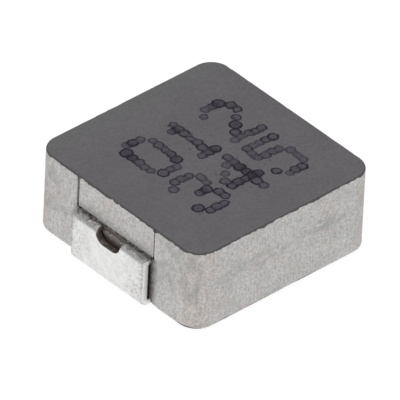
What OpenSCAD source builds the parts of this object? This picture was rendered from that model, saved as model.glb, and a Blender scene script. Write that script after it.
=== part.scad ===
// Shielded surface-mount power inductor of the 10 x 10 x 4 mm class.
// A flat-wire copper coil and two tinned lead strips are pressed into one block of
// iron powder and resin. Each strip leaves an end face, bends down past a window
// and folds under the block as a solder foot.
// +X runs from foot to foot, +Y is the top side of the printed digits, +Z is up.
// The origin is on the circuit board, under the middle of the part. Millimetres.

/* [Block] */
// Length of the pressed block between its two end faces
body_l = 9.9; // [9.6:0.1:12]
// Width of the block
body_w = 10; // [8:0.1:12]
// Height of the block
body_h = 3.95; // [3.5:0.05:5]
// Radius of the four upright corners
corner_r = 0.95; // [0.4:0.05:1.6]
// Rounding of the top and bottom rims
rim_r = 0.08; // [0.02:0.01:0.2]
// Height of the block's underside above the circuit board
seat_gap = 0.05; // [0.02:0.01:0.2]

/* [Press marks on the end faces] */
// Width of the two upright marks beside the press tongue
mark_groove_w = 0.1; // [0.04:0.01:0.2]
// Depth of the two upright marks
mark_groove_d = 0.1; // [0.04:0.01:0.2]
// Distance from the edge of a lead strip to the middle of the mark beside it
tongue_overhang = 0.12; // [0.08:0.01:0.3]
// Height of the slit between the tongue's panel and the lead strip
slit_h = 0.15; // [0.05:0.01:0.3]
// Depth of that slit
slit_d = 0.25; // [0.1:0.05:0.5]

/* [Lead strips] */
// Width of a lead strip
strip_w = 4.45; // [3:0.05:5.5]
// Thickness of a lead strip
strip_t = 0.3; // [0.15:0.01:0.4]
// Height of the strip's upper face above the block's underside where it leaves the block
exit_h = 2.35; // [2.1:0.05:2.6]
// Air gap between an end face and the upright plate
plate_gap = 0.13; // [0.05:0.01:0.3]
// Outer radius of the bends
bend_r = 0.35; // [0.32:0.01:0.43]
// Length of a solder foot, from the outer face of the plate to its tip
foot_l = 2.3; // [1.2:0.1:3]
// Depth to which a strip's tab goes into the block
tab_depth = 1; // [0.8:0.05:1.2]
// Clearance between the block and the tab that it holds
press_gap = 0.01; // [0.01:0.01:0.03]

/* [Window in the bend] */
// Width of the window
window_w = 1.45; // [0.9:0.05:2.4]
// Drop from the strip's upper face to the lower edge of the window
window_drop = 0.6; // [0.4:0.05:1.2]
// Depth to which the window goes on into the block
window_depth = 0.4; // [0.35:0.05:0.6]
// Radius of the window's corners
window_r = 0.35; // [0.1:0.05:0.4]

/* [Foot recesses] */
// Clearance between a foot's upper face and the roof of its recess
recess_gap = 0.04; // [0.02:0.01:0.1]
// Clearance between a foot's edges and the recess
recess_side = 0.06; // [0.03:0.01:0.2]
// Width of the sloping lip on each side of a recess
lip_w = 0.5; // [0.1:0.05:0.8]
// Height of the sloping lip above the block's underside
lip_h = 0.14; // [0.05:0.01:0.2]

/* [Coil] */
// Inner diameter of the winding
coil_bore = 3; // [2:0.1:3.2]
// Width of the flat wire, across the winding
wire_w = 1.7; // [1:0.05:1.75]
// Thickness of the flat wire, along the winding's axis
wire_t = 0.45; // [0.3:0.01:0.5]
// Number of turns, a half more than a whole number so that the leads face both ends
turns = 2.5; // [1.5:1:3.5]
// Air and enamel between one turn and the next
turn_gap = 0.07; // [0.07:0.01:0.12]
// Radius of the sideways bend that turns the wire towards its strip
lead_bend_r = 1; // [0.9:0.05:1.1]
// Length over which the lower lead climbs to its strip
climb_l = 0.65; // [0.5:0.05:0.7]
// Wall left between the tip of a lead and the end face
lead_wall = 0.3; // [0.2:0.05:0.5]
// Thickness of the weld between a lead and its strip
weld_t = 0.01; // [0.005:0.005:0.03]
// Clearance between the wire and the pressed powder round it
wire_gap = 0.05; // [0.03:0.01:0.08]

/* [Printed digits] */
// Upper row of digits
upper_digits = "012"; // ["012", "345", "678"]
// Lower row of digits
lower_digits = "345"; // ["345", "012", "678"]
// Diameter of one ink dot
dot_d = 0.44; // [0.2:0.01:0.48]
// Spacing of the dots across a digit
dot_pitch_x = 0.36; // [0.36:0.01:0.42]
// Spacing of the dots up a digit
dot_pitch_y = 0.39; // [0.36:0.01:0.42]
// Spacing of the digits in a row
digit_pitch = 2.1; // [1.9:0.05:2.3]
// Spacing of the two rows
row_pitch = 3.1; // [2.8:0.05:3.3]
// Distance by which the print sits off the middle, towards +X
print_x = 0.3; // [-0.5:0.05:0.5]
// Distance by which the print sits off the middle, towards +Y
print_y = -0.22; // [-0.5:0.02:0.5]
// Turn of the print on the face, in degrees
print_turn = -2.5; // [-5:0.5:5]
// Thickness of the ink
ink_t = 0.015; // [0.01:0.005:0.03]

/* [Hidden] */

$fn = 64;
over = 0.5; // how far a cutting tool runs past the face that it cuts
lap = 0.001; // overlap of two cutting tools that meet

// Levels above the circuit board
top_z = seat_gap + body_h;
strip_top_z = seat_gap + exit_h;
strip_low_z = strip_top_z - strip_t;
roof_z = strip_t + recess_gap;

// Places along X, measured from the middle
end_x = body_l / 2;
plate_in_x = end_x + plate_gap;
plate_out_x = plate_in_x + strip_t;
tab_x = end_x - tab_depth;
foot_x = plate_out_x - foot_l;

// Winding
wire_r = (coil_bore + wire_w) / 2;
pitch = wire_t + turn_gap;
bend_turn = lead_bend_r / (4 * wire_r); // the sideways bend, as a share of a turn
upper_lead_z = strip_top_z + weld_t + wire_t / 2;
lower_lead_z = strip_low_z - weld_t - wire_t / 2;
mid_z = upper_lead_z - pitch * (turns / 2 + bend_turn);
first_z = mid_z - pitch * (turns / 2 + bend_turn);
lead_x = wire_r + lead_bend_r;
tip_x = end_x - lead_wall;
steps_per_turn = 48;
bend_steps = 10;
climb_steps = 10;

// Five by seven dot patterns of the plain digits, row by row from the top
FONT = [
    ["01110", "10001", "10001", "10001", "10001", "10001", "01110"],
    ["00100", "01100", "00100", "00100", "00100", "00100", "01110"],
    ["01110", "10001", "00001", "00010", "00100", "01000", "11111"],
    ["01110", "10001", "00001", "00110", "00001", "10001", "01110"],
    ["00010", "00110", "01010", "10010", "11111", "00010", "00010"],
    ["11111", "10000", "11110", "00001", "00001", "10001", "01110"],
    ["01110", "10000", "10000", "11110", "10001", "10001", "01110"],
    ["11111", "00001", "00010", "00010", "00100", "00100", "00100"],
    ["01110", "10001", "10001", "01110", "10001", "10001", "01110"],
];
font_columns = 5;
font_rows = 7;
dot_sides = 24;

// Flat rectangle with round corners, centred on the origin
module round_rect(l, w, r) {
    square([l - 2 * r, w], center = true);
    square([l, w - 2 * r], center = true);
    for (sx = [-1, 1], sy = [-1, 1])
        translate([sx * (l / 2 - r), sy * (w / 2 - r)]) circle(r);
}

// Half section of the block at a place where its half width is half_w, rims rounded
module block_section(half_w, inner = 0) {
    rim = [for (a = [0, 30, 60, 90]) [half_w - rim_r + rim_r * cos(a), body_h - rim_r + rim_r * sin(a)]];
    foot = [for (a = [-90, -60, -30, 0]) [half_w - rim_r + rim_r * cos(a), rim_r + rim_r * sin(a)]];
    polygon(concat([[inner, 0]], foot, rim, [[inner, body_h]]));
}

// Bar of the block's section, len long, with rounded rims on both sides
module rimmed_bar(len, width) {
    rotate([90, 0, 90]) translate([0, 0, -len / 2]) linear_extrude(len)
        for (side = [0, 1]) mirror([side, 0]) block_section(width / 2);
}

// Outer form of the pressed block
module block() {
    translate([0, 0, seat_gap]) {
        rimmed_bar(body_l - 2 * corner_r, body_w);
        rotate([0, 0, 90]) rimmed_bar(body_w - 2 * corner_r, body_l);
        for (sx = [-1, 1], sy = [-1, 1])
            translate([sx * (body_l / 2 - corner_r), sy * (body_w / 2 - corner_r), 0])
                rotate_extrude() block_section(corner_r);
    }
}

// Press marks on the +X end face: two upright marks that stop under the rim, and the slit over the strip
module end_marks() {
    mark_y = strip_w / 2 + tongue_overhang;
    for (side = [-1, 1])
        translate([end_x - mark_groove_d, side * mark_y - mark_groove_w / 2, strip_top_z])
            cube([mark_groove_d + over, mark_groove_w, top_z - rim_r - strip_top_z]);
    translate([end_x - slit_d, -mark_y, strip_top_z - press_gap])
        cube([slit_d + over, 2 * mark_y, slit_h + press_gap]);
}

// Plan of the window in the +X strip, grown or shrunk all round
module window_plan(grow = 0) {
    in_x = end_x - window_depth - grow;
    out_x = plate_out_x + over;
    translate([(in_x + out_x) / 2, 0]) round_rect(out_x - in_x, window_w + 2 * grow, window_r + grow);
}

// Space that the +X strip's tab takes in the block, with the powder's plug left in the window
module tab_slot() {
    height = strip_t + 2 * press_gap;
    translate([0, 0, strip_low_z - press_gap]) linear_extrude(height) difference() {
        translate([tab_x - press_gap, -strip_w / 2 - press_gap])
            square([tab_depth + press_gap + over, strip_w + 2 * press_gap]);
        window_plan(-press_gap);
    }
}

// Recess under the +X end for the solder foot, with a sloping lip on each side
module foot_recess() {
    half_w = strip_w / 2 + recess_side;
    outline = [
        [half_w + lip_w + lip_w, seat_gap - lip_h], [half_w, seat_gap + lip_h], [half_w, roof_z],
        [-half_w, roof_z], [-half_w, seat_gap + lip_h], [-half_w - lip_w - lip_w, seat_gap - lip_h],
    ];
    translate([foot_x - recess_side, 0, 0]) rotate([90, 0, 90])
        linear_extrude(end_x - foot_x + recess_side + over) polygon(outline);
}

// Everything that is taken out of one end of the block; +X end, or -X end with side = -1
module end_cuts(side) {
    mirror([side < 0 ? 1 : 0, 0, 0]) {
        end_marks();
        tab_slot();
        foot_recess();
    }
}

// Space for the winding and its two leads
module coil_space() {
    low_z = first_z - wire_t / 2 - wire_gap;
    high_z = upper_lead_z + wire_t / 2 + wire_gap;
    inner_r = coil_bore / 2 - wire_gap;
    translate([0, 0, low_z]) rotate_extrude()
        translate([inner_r, 0]) square([wire_w + 2 * wire_gap, high_z - low_z]);
    lead_y = -lead_bend_r - wire_w / 2 - wire_gap;
    // upper lead, towards -X, lying on its strip
    translate([-tip_x - wire_gap, lead_y, strip_top_z])
        cube([tip_x + wire_gap - wire_r, wire_w + 2 * wire_gap, high_z - strip_top_z]);
    bend_low_z = upper_lead_z - wire_t / 2 - pitch * bend_turn - wire_gap;
    translate([-tab_x + wire_gap, lead_y, bend_low_z])
        cube([tab_x - wire_gap - wire_r, wire_w + 2 * wire_gap, high_z - bend_low_z]);
    // lower lead, towards +X, climbing to the underside of its strip
    flat_z = first_z + wire_t / 2 + wire_gap;
    translate([0, lead_y + wire_w + 2 * wire_gap, 0]) rotate([90, 0, 0])
        linear_extrude(wire_w + 2 * wire_gap) polygon([
            [wire_r, low_z], [lead_x + wire_gap, low_z],
            [lead_x + climb_l + wire_gap, lower_lead_z - wire_t / 2 - wire_gap],
            [tip_x + wire_gap, lower_lead_z - wire_t / 2 - wire_gap], [tip_x + wire_gap, strip_low_z],
            [lead_x + climb_l / 2, strip_low_z], [lead_x - wire_gap, flat_z], [wire_r, flat_z],
        ]);
}

module moulded_body() {
    color([0.72, 0.71, 0.69]) difference() {
        block();
        coil_space();
        for (side = [-1, 1]) end_cuts(side);
    }
}

// One station of the wire: [x, y, z, across_x, across_y]
function winding_station(u) = // u counts turns from the first
    let (a = 360 * u)
    [wire_r * cos(a), wire_r * sin(a), mid_z + pitch * (u - turns / 2), cos(a), sin(a)];
function bend_station(side, share) = // share runs from 0 at the winding to 1 at the lead
    let (a = side > 0 ? 180 + 90 * share : -90 * share)
    [side * lead_x + lead_bend_r * cos(a), lead_bend_r * sin(a),
     mid_z - side * pitch * (turns / 2 + bend_turn * share), -cos(a), -sin(a)];
function lead_station(x, z) = [x, -lead_bend_r, z, 0, 1];

wire_path = concat(
    [lead_station(tip_x, lower_lead_z)],
    [for (i = [climb_steps:-1:1])
        let (share = i / climb_steps, rise = (1 - cos(180 * share)) / 2)
        lead_station(lead_x + climb_l * share, first_z + (lower_lead_z - first_z) * rise)],
    [for (i = [bend_steps:-1:1]) bend_station(1, i / bend_steps)],
    [for (i = [0:turns * steps_per_turn]) winding_station(i / steps_per_turn)],
    [for (i = [1:bend_steps]) bend_station(-1, i / bend_steps)],
    [lead_station(-tip_x, upper_lead_z)]
);

// Flat wire swept along its path, wire_w across and wire_t high
module flat_wire(path) {
    count = len(path);
    corners = [[1, 1], [-1, 1], [-1, -1], [1, -1]];
    points = [for (s = path, c = corners)
        [s[0] + s[3] * c[0] * wire_w / 2, s[1] + s[4] * c[0] * wire_w / 2, s[2] + c[1] * wire_t / 2]];
    sides = [for (i = [0:count - 2], k = [0:3])
        [4 * i + k, 4 * i + (k + 1) % 4, 4 * (i + 1) + (k + 1) % 4, 4 * (i + 1) + k]];
    last = 4 * (count - 1);
    polyhedron(points, concat([[3, 2, 1, 0]], sides, [[last, last + 1, last + 2, last + 3]]));
}

module coil() {
    color([0.72, 0.42, 0.22]) flat_wire(wire_path);
}

// Quarter of a ring, strip_t thick, in the quadrant that quadrant = [sx, sy] points to
module bend_section(quadrant) {
    intersection() {
        difference() {
            circle(bend_r);
            circle(bend_r - strip_t);
        }
        translate([quadrant[0] > 0 ? 0 : -bend_r, quadrant[1] > 0 ? 0 : -bend_r]) square(bend_r);
    }
}

// Side view of the +X strip: tab, upper bend, plate, lower bend and foot
module strip_section() {
    bend_x = plate_out_x - bend_r;
    translate([tab_x, strip_low_z]) square([bend_x - tab_x, strip_t]);
    translate([bend_x, strip_top_z - bend_r]) bend_section([1, 1]);
    translate([plate_in_x, bend_r]) square([strip_t, strip_top_z - 2 * bend_r]);
    translate([bend_x, bend_r]) bend_section([1, -1]);
    translate([foot_x, 0]) square([bend_x - foot_x, strip_t]);
}

// Window through the tab, the upper bend and the top of the plate of the +X strip
module window_cut() {
    low_z = strip_top_z - window_drop;
    high_z = strip_top_z + over;
    translate([0, 0, strip_low_z - bend_r]) linear_extrude(strip_t + bend_r + over) intersection() {
        window_plan();
        translate([0, -window_w]) square([plate_in_x - (bend_r - strip_t), 2 * window_w]);
    }
    translate([plate_in_x - (bend_r - strip_t) - lap, 0, (low_z + high_z) / 2]) rotate([90, 0, 90])
        linear_extrude(strip_t + over) round_rect(window_w, high_z - low_z, window_r);
}

// Lead strip of the +X end, or of the -X end with side = -1
module terminal(side) {
    color([0.86, 0.86, 0.84]) mirror([side < 0 ? 1 : 0, 0, 0]) difference() {
        translate([0, strip_w / 2, 0]) rotate([90, 0, 0]) linear_extrude(strip_w) strip_section();
        window_cut();
    }
}
module terminal_left() terminal(-1);
module terminal_right() terminal(1);

// One digit as flat ink dots that run together, centred on the origin
module digit(character) {
    rows = FONT[ord(character) - ord("0")];
    mid_row = (font_rows - 1) / 2;
    mid_column = (font_columns - 1) / 2;
    for (row = [0:font_rows - 1], column = [0:font_columns - 1])
        if (rows[row][column] == "1")
            translate([(column - mid_column) * dot_pitch_x, (mid_row - row) * dot_pitch_y])
                circle(d = dot_d, $fn = dot_sides);
}

module marking() {
    rows = [upper_digits, lower_digits];
    color([0.22, 0.2, 0.24]) translate([print_x, print_y, top_z]) rotate([0, 0, print_turn])
        for (row = [0, 1], place = [0:len(rows[row]) - 1])
            translate([(place - (len(rows[row]) - 1) / 2) * digit_pitch, (0.5 - row) * row_pitch, 0])
                linear_extrude(ink_t) digit(rows[row][place]);
}

moulded_body();
coil();
terminal_left();
terminal_right();
marking();
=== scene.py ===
import logging
import math
import random
from collections.abc import Iterable
from dataclasses import dataclass, field
from enum import Enum
from functools import cache

import bmesh
import bpy
from mathutils import Matrix, Vector, kdtree, noise


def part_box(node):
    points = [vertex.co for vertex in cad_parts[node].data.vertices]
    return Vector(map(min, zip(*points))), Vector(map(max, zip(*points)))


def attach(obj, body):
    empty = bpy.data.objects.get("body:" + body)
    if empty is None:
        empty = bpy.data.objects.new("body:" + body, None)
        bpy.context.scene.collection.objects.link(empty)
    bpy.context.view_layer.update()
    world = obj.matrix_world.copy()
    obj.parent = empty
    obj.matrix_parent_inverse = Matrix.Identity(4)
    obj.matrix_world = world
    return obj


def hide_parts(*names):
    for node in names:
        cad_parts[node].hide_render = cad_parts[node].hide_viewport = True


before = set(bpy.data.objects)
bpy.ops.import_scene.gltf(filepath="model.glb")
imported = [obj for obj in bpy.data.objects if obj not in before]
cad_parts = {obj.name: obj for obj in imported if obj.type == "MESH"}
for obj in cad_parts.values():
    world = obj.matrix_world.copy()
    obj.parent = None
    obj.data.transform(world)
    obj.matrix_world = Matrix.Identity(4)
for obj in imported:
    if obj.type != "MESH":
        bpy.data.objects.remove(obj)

LOG = logging.getLogger("inductor")
MM = 0.001  # one millimetre in metres; meshes are shaped in millimetres and scaled once
MARK_OFFSET = 0.12  # from the edge of a lead strip to the middle of the press mark beside it

Colour = tuple[float, float, float]


# --------------------------------------------------------------------------------------
# Shader graphs
# --------------------------------------------------------------------------------------

class Signal:
    """One output socket of a shader graph; arithmetic on it adds Math nodes."""

    def __init__(self, graph: "Graph", socket: bpy.types.NodeSocket) -> None:
        """Wraps an output socket of a graph."""
        self.graph = graph
        self.socket = socket

    def _math(self, operation: str, *values: "Value") -> "Signal":
        """Result of a new Math node on some values."""
        made = self.graph.node("ShaderNodeMath", {"operation": operation}, dict(enumerate(values)))
        return Signal(self.graph, made.outputs[0])

    def __add__(self, other: "Value") -> "Signal":
        """Sum."""
        return self._math("ADD", self, other)

    __radd__ = __add__

    def __sub__(self, other: "Value") -> "Signal":
        """Difference."""
        return self._math("SUBTRACT", self, other)

    def __rsub__(self, other: "Value") -> "Signal":
        """Difference from the right, as in 1 - mask."""
        return self._math("SUBTRACT", other, self)

    def __mul__(self, other: "Value") -> "Signal":
        """Product."""
        return self._math("MULTIPLY", self, other)

    __rmul__ = __mul__

    def __abs__(self) -> "Signal":
        """Absolute value."""
        return self._math("ABSOLUTE", self)

    def __and__(self, other: "Value") -> "Signal":
        """The lesser of two values: where both masks hold."""
        return self._math("MINIMUM", self, other)

    def __or__(self, other: "Value") -> "Signal":
        """The greater of two values: where either mask holds."""
        return self._math("MAXIMUM", self, other)

    def above(self, edge: float, soft: float) -> "Signal":
        """Mask that rises smoothly from 0 to 1 round an edge value.

        Args:
            edge: The value at the middle of the rise.
            soft: Half the width of the rise.

        Returns:
            The mask.
        """
        settings = {"interpolation_type": "SMOOTHSTEP"}
        values = {"Value": self, "From Min": edge - soft, "From Max": edge + soft}
        return Signal(self.graph, self.graph.node("ShaderNodeMapRange", settings, values).outputs[0])

    def below(self, edge: float, soft: float) -> "Signal":
        """Mask that falls smoothly from 1 to 0 round an edge value."""
        return 1.0 - self.above(edge, soft)


Value = Signal | float | int


class Graph:
    """The node graph of one material, world or light, with short ways to add nodes."""

    def __init__(self, tree: bpy.types.NodeTree) -> None:
        """Empties a node tree and takes it over."""
        self.tree = tree
        self.tree.nodes.clear()
        self._place: dict[str, Signal] = {}

    def node(self, kind: str, settings: dict | None = None, values: dict | None = None) -> bpy.types.Node:
        """Adds one node of any type.

        Args:
            kind: The node's type.
            settings: Its own properties, set first.
            values: Constants or signals by the name, identifier or number of the input socket.

        Returns:
            The node.
        """
        made = self.tree.nodes.new(kind)
        for name, value in (settings or {}).items():
            setattr(made, name, value)
        for key, value in (values or {}).items():
            socket = self._input(made, key)
            if isinstance(value, Signal):
                self.tree.links.new(value.socket, socket)
            else:
                socket.default_value = value
        return made

    @staticmethod
    def _input(made: bpy.types.Node, key: str | int) -> bpy.types.NodeSocket:
        """Finds an input socket by number, identifier or name."""
        if isinstance(key, int):
            return made.inputs[key]
        return next((s for s in made.inputs if s.identifier == key), None) or made.inputs[key]

    def place(self, axis: str) -> Signal:
        """Object coordinate along one axis, in millimetres.

        Args:
            axis: "X", "Y" or "Z".

        Returns:
            The coordinate.
        """
        if not self._place:
            spot = self.node("ShaderNodeTexCoord").outputs["Object"]
            millimetres = self.node("ShaderNodeVectorMath", {"operation": "SCALE"},
                                    {0: Signal(self, spot), "Scale": 1.0 / MM}).outputs[0]
            split = self.node("ShaderNodeSeparateXYZ", None, {0: Signal(self, millimetres)})
            self._place = {name: Signal(self, split.outputs[name]) for name in "XYZ"}
            self._place["point"] = Signal(self, millimetres)
        return self._place[axis]

    def folded(self) -> tuple[Signal, Signal, Signal]:
        """Object coordinates in millimetres, with X and Y counted from the middle to either side."""
        return abs(self.place("X")), abs(self.place("Y")), self.place("Z")

    def noise(self, per_mm: float | Colour, detail: float, shift: float, rough: float = 0.5) -> Signal:
        """Noise over the piece.

        Args:
            per_mm: Grains per millimetre, one number or one along each axis.
            detail: Octaves of finer noise.
            shift: Offset that makes this noise differ from the others.
            rough: Strength of the finer octaves.

        Returns:
            The noise, round 0.5.
        """
        self.place("X")
        scale = per_mm if isinstance(per_mm, tuple) else (per_mm,) * 3
        mapped = self.node("ShaderNodeMapping", None, {
            "Vector": self._place["point"], "Scale": scale, "Location": (shift, shift * 1.7, shift * 0.6),
        }).outputs[0]
        made = self.node("ShaderNodeTexNoise", {"normalize": True}, {
            "Vector": Signal(self, mapped), "Scale": 1.0, "Detail": detail, "Roughness": rough,
        })
        return Signal(self, made.outputs[0])

    def wave(self, per_mm: float | Colour, detail: float, shift: float, rough: float = 0.5) -> Signal:
        """Noise round 0."""
        return self.noise(per_mm, detail, shift, rough) - 0.5

    def attribute(self, name: str) -> Signal:
        """Number that the mesh carries at each point."""
        made = self.node("ShaderNodeAttribute", {"attribute_name": name})
        return Signal(self, made.outputs["Fac"])

    def mix(self, share: Value, first: "Signal | Colour", second: "Signal | Colour") -> Signal:
        """Blend of two colours.

        Args:
            share: Share of the second colour.
            first: The colour at share 0.
            second: The colour at share 1.

        Returns:
            The blend.
        """
        colours = [c if isinstance(c, Signal) else (*c, 1.0) for c in (first, second)]
        made = self.node("ShaderNodeMix", {"data_type": "RGBA"}, {
            "Factor_Float": share, "A_Color": colours[0], "B_Color": colours[1],
        })
        return Signal(self, next(s for s in made.outputs if s.identifier == "Result_Color"))

    def shade(self, colour: Signal, strength: Signal) -> Signal:
        """Colour made lighter or darker by a factor."""
        made = self.node("ShaderNodeVectorMath", {"operation": "SCALE"}, {0: colour, "Scale": strength})
        return Signal(self, made.outputs[0])

    def bump(self, height: Signal, depth: float, strength: float = 1.0) -> Signal:
        """Normal bent by a height; a height of 1 is worth a depth in millimetres."""
        values = {"Height": height, "Distance": depth * MM, "Strength": strength}
        return Signal(self, self.node("ShaderNodeBump", None, values).outputs[0])

    def surface(self, values: dict) -> None:
        """Ends the graph in a Principled shader with these values, by socket name."""
        shader = self.node("ShaderNodeBsdfPrincipled", None, values)
        self.node("ShaderNodeOutputMaterial", None, {"Surface": Signal(self, shader.outputs[0])})


def new_material(name: str) -> tuple[bpy.types.Material, Graph]:
    """Makes an empty material.

    Args:
        name: The material's name.

    Returns:
        The material and its graph.
    """
    material = bpy.data.materials.new(name)
    material.use_nodes = True
    return material, Graph(material.node_tree)


# --------------------------------------------------------------------------------------
# Workshop: what every piece needs
# --------------------------------------------------------------------------------------

@dataclass(frozen=True)
class Span:
    """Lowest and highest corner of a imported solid, in millimetres."""

    low: Vector
    high: Vector

    @staticmethod
    @cache
    def of(node: str) -> "Span":
        """Reads a node's box from the frame."""
        low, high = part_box(node)
        return Span(low / MM, high / MM)

    @property
    def middle(self) -> Vector:
        """Middle of the box."""
        return (self.low + self.high) / 2

    @property
    def size(self) -> Vector:
        """Lengths of the box's sides."""
        return self.high - self.low


class End(Enum):
    """The two ends of the part; the value is the sign of X."""

    LEFT = -1
    RIGHT = 1

    @property
    def node(self) -> str:
        """Name of the CAD node of this end's strip."""
        return "terminal_" + self.name.lower()


def whole(bm: bmesh.types.BMesh) -> list:
    """Every vertex, edge and face of a mesh, as the cutting operator wants them."""
    return bm.verts[:] + bm.edges[:] + bm.faces[:]


def slice_along(bm: bmesh.types.BMesh, axis: int, places: Iterable[float]) -> None:
    """Cuts new edge loops across a mesh.

    Args:
        bm: The mesh.
        axis: 0, 1 or 2 for X, Y or Z.
        places: Where along the axis the loops lie.
    """
    normal = Vector((axis == 0, axis == 1, axis == 2))
    for place in places:
        bmesh.ops.bisect_plane(bm, geom=whole(bm), dist=1e-5, plane_co=normal * place, plane_no=normal)


def steps(start: float, stop: float, size: float) -> list[float]:
    """Evenly spaced places between two ends, the ends left out.

    Args:
        start: The first end.
        stop: The other end.
        size: Longest step.

    Returns:
        The places.
    """
    count = max(1, math.ceil(abs(stop - start) / size))
    return [start + (stop - start) * i / count for i in range(1, count)]


def carve(bm: bmesh.types.BMesh, cutter: bmesh.types.BMesh) -> bmesh.types.BMesh:
    """Takes one closed mesh out of another.

    Args:
        bm: The mesh that is cut; it is freed.
        cutter: The mesh that is taken out; it is freed.

    Returns:
        The cut mesh.
    """
    objects = []
    for part in (bm, cutter):
        mesh = bpy.data.meshes.new("carving")
        part.to_mesh(mesh)
        part.free()
        made = bpy.data.objects.new("carving", mesh)
        bpy.context.scene.collection.objects.link(made)
        objects.append(made)
    modifier = objects[0].modifiers.new("cut", "BOOLEAN")
    modifier.object, modifier.operation, modifier.solver = objects[1], "DIFFERENCE", "EXACT"
    graph = bpy.context.evaluated_depsgraph_get()
    cut = bmesh.new()
    cut.from_mesh(objects[0].evaluated_get(graph).to_mesh())
    for made in objects:
        mesh = made.data
        bpy.data.objects.remove(made)
        bpy.data.meshes.remove(mesh)
    return cut


def hand_over(name: str, bm: bmesh.types.BMesh, finishes: list[bpy.types.Material],
              sharp: float | None = 40.0) -> bpy.types.Object:
    """Turns a mesh shaped in millimetres into a finished object of the scene.

    Args:
        name: The object's name.
        bm: The mesh; it is freed.
        finishes: Materials by material index.
        sharp: Angle in degrees from which an edge stays sharp; None shades flat.

    Returns:
        The object, at the origin, with its place in its mesh, riding on the part's one body.
    """
    bmesh.ops.scale(bm, vec=(MM,) * 3, verts=bm.verts)
    mesh = bpy.data.meshes.new(name)
    bm.to_mesh(mesh)
    bm.free()
    if sharp is not None:
        mesh.shade_smooth()
        mesh.set_sharp_from_angle(angle=math.radians(sharp))
    for finish in finishes:
        mesh.materials.append(finish)
    piece = bpy.data.objects.new(name, mesh)
    bpy.context.scene.collection.objects.link(piece)
    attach(piece, "root")
    LOG.info("%s: %d faces", name, len(mesh.polygons))
    return piece


# --------------------------------------------------------------------------------------
# Finishes
# --------------------------------------------------------------------------------------

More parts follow.
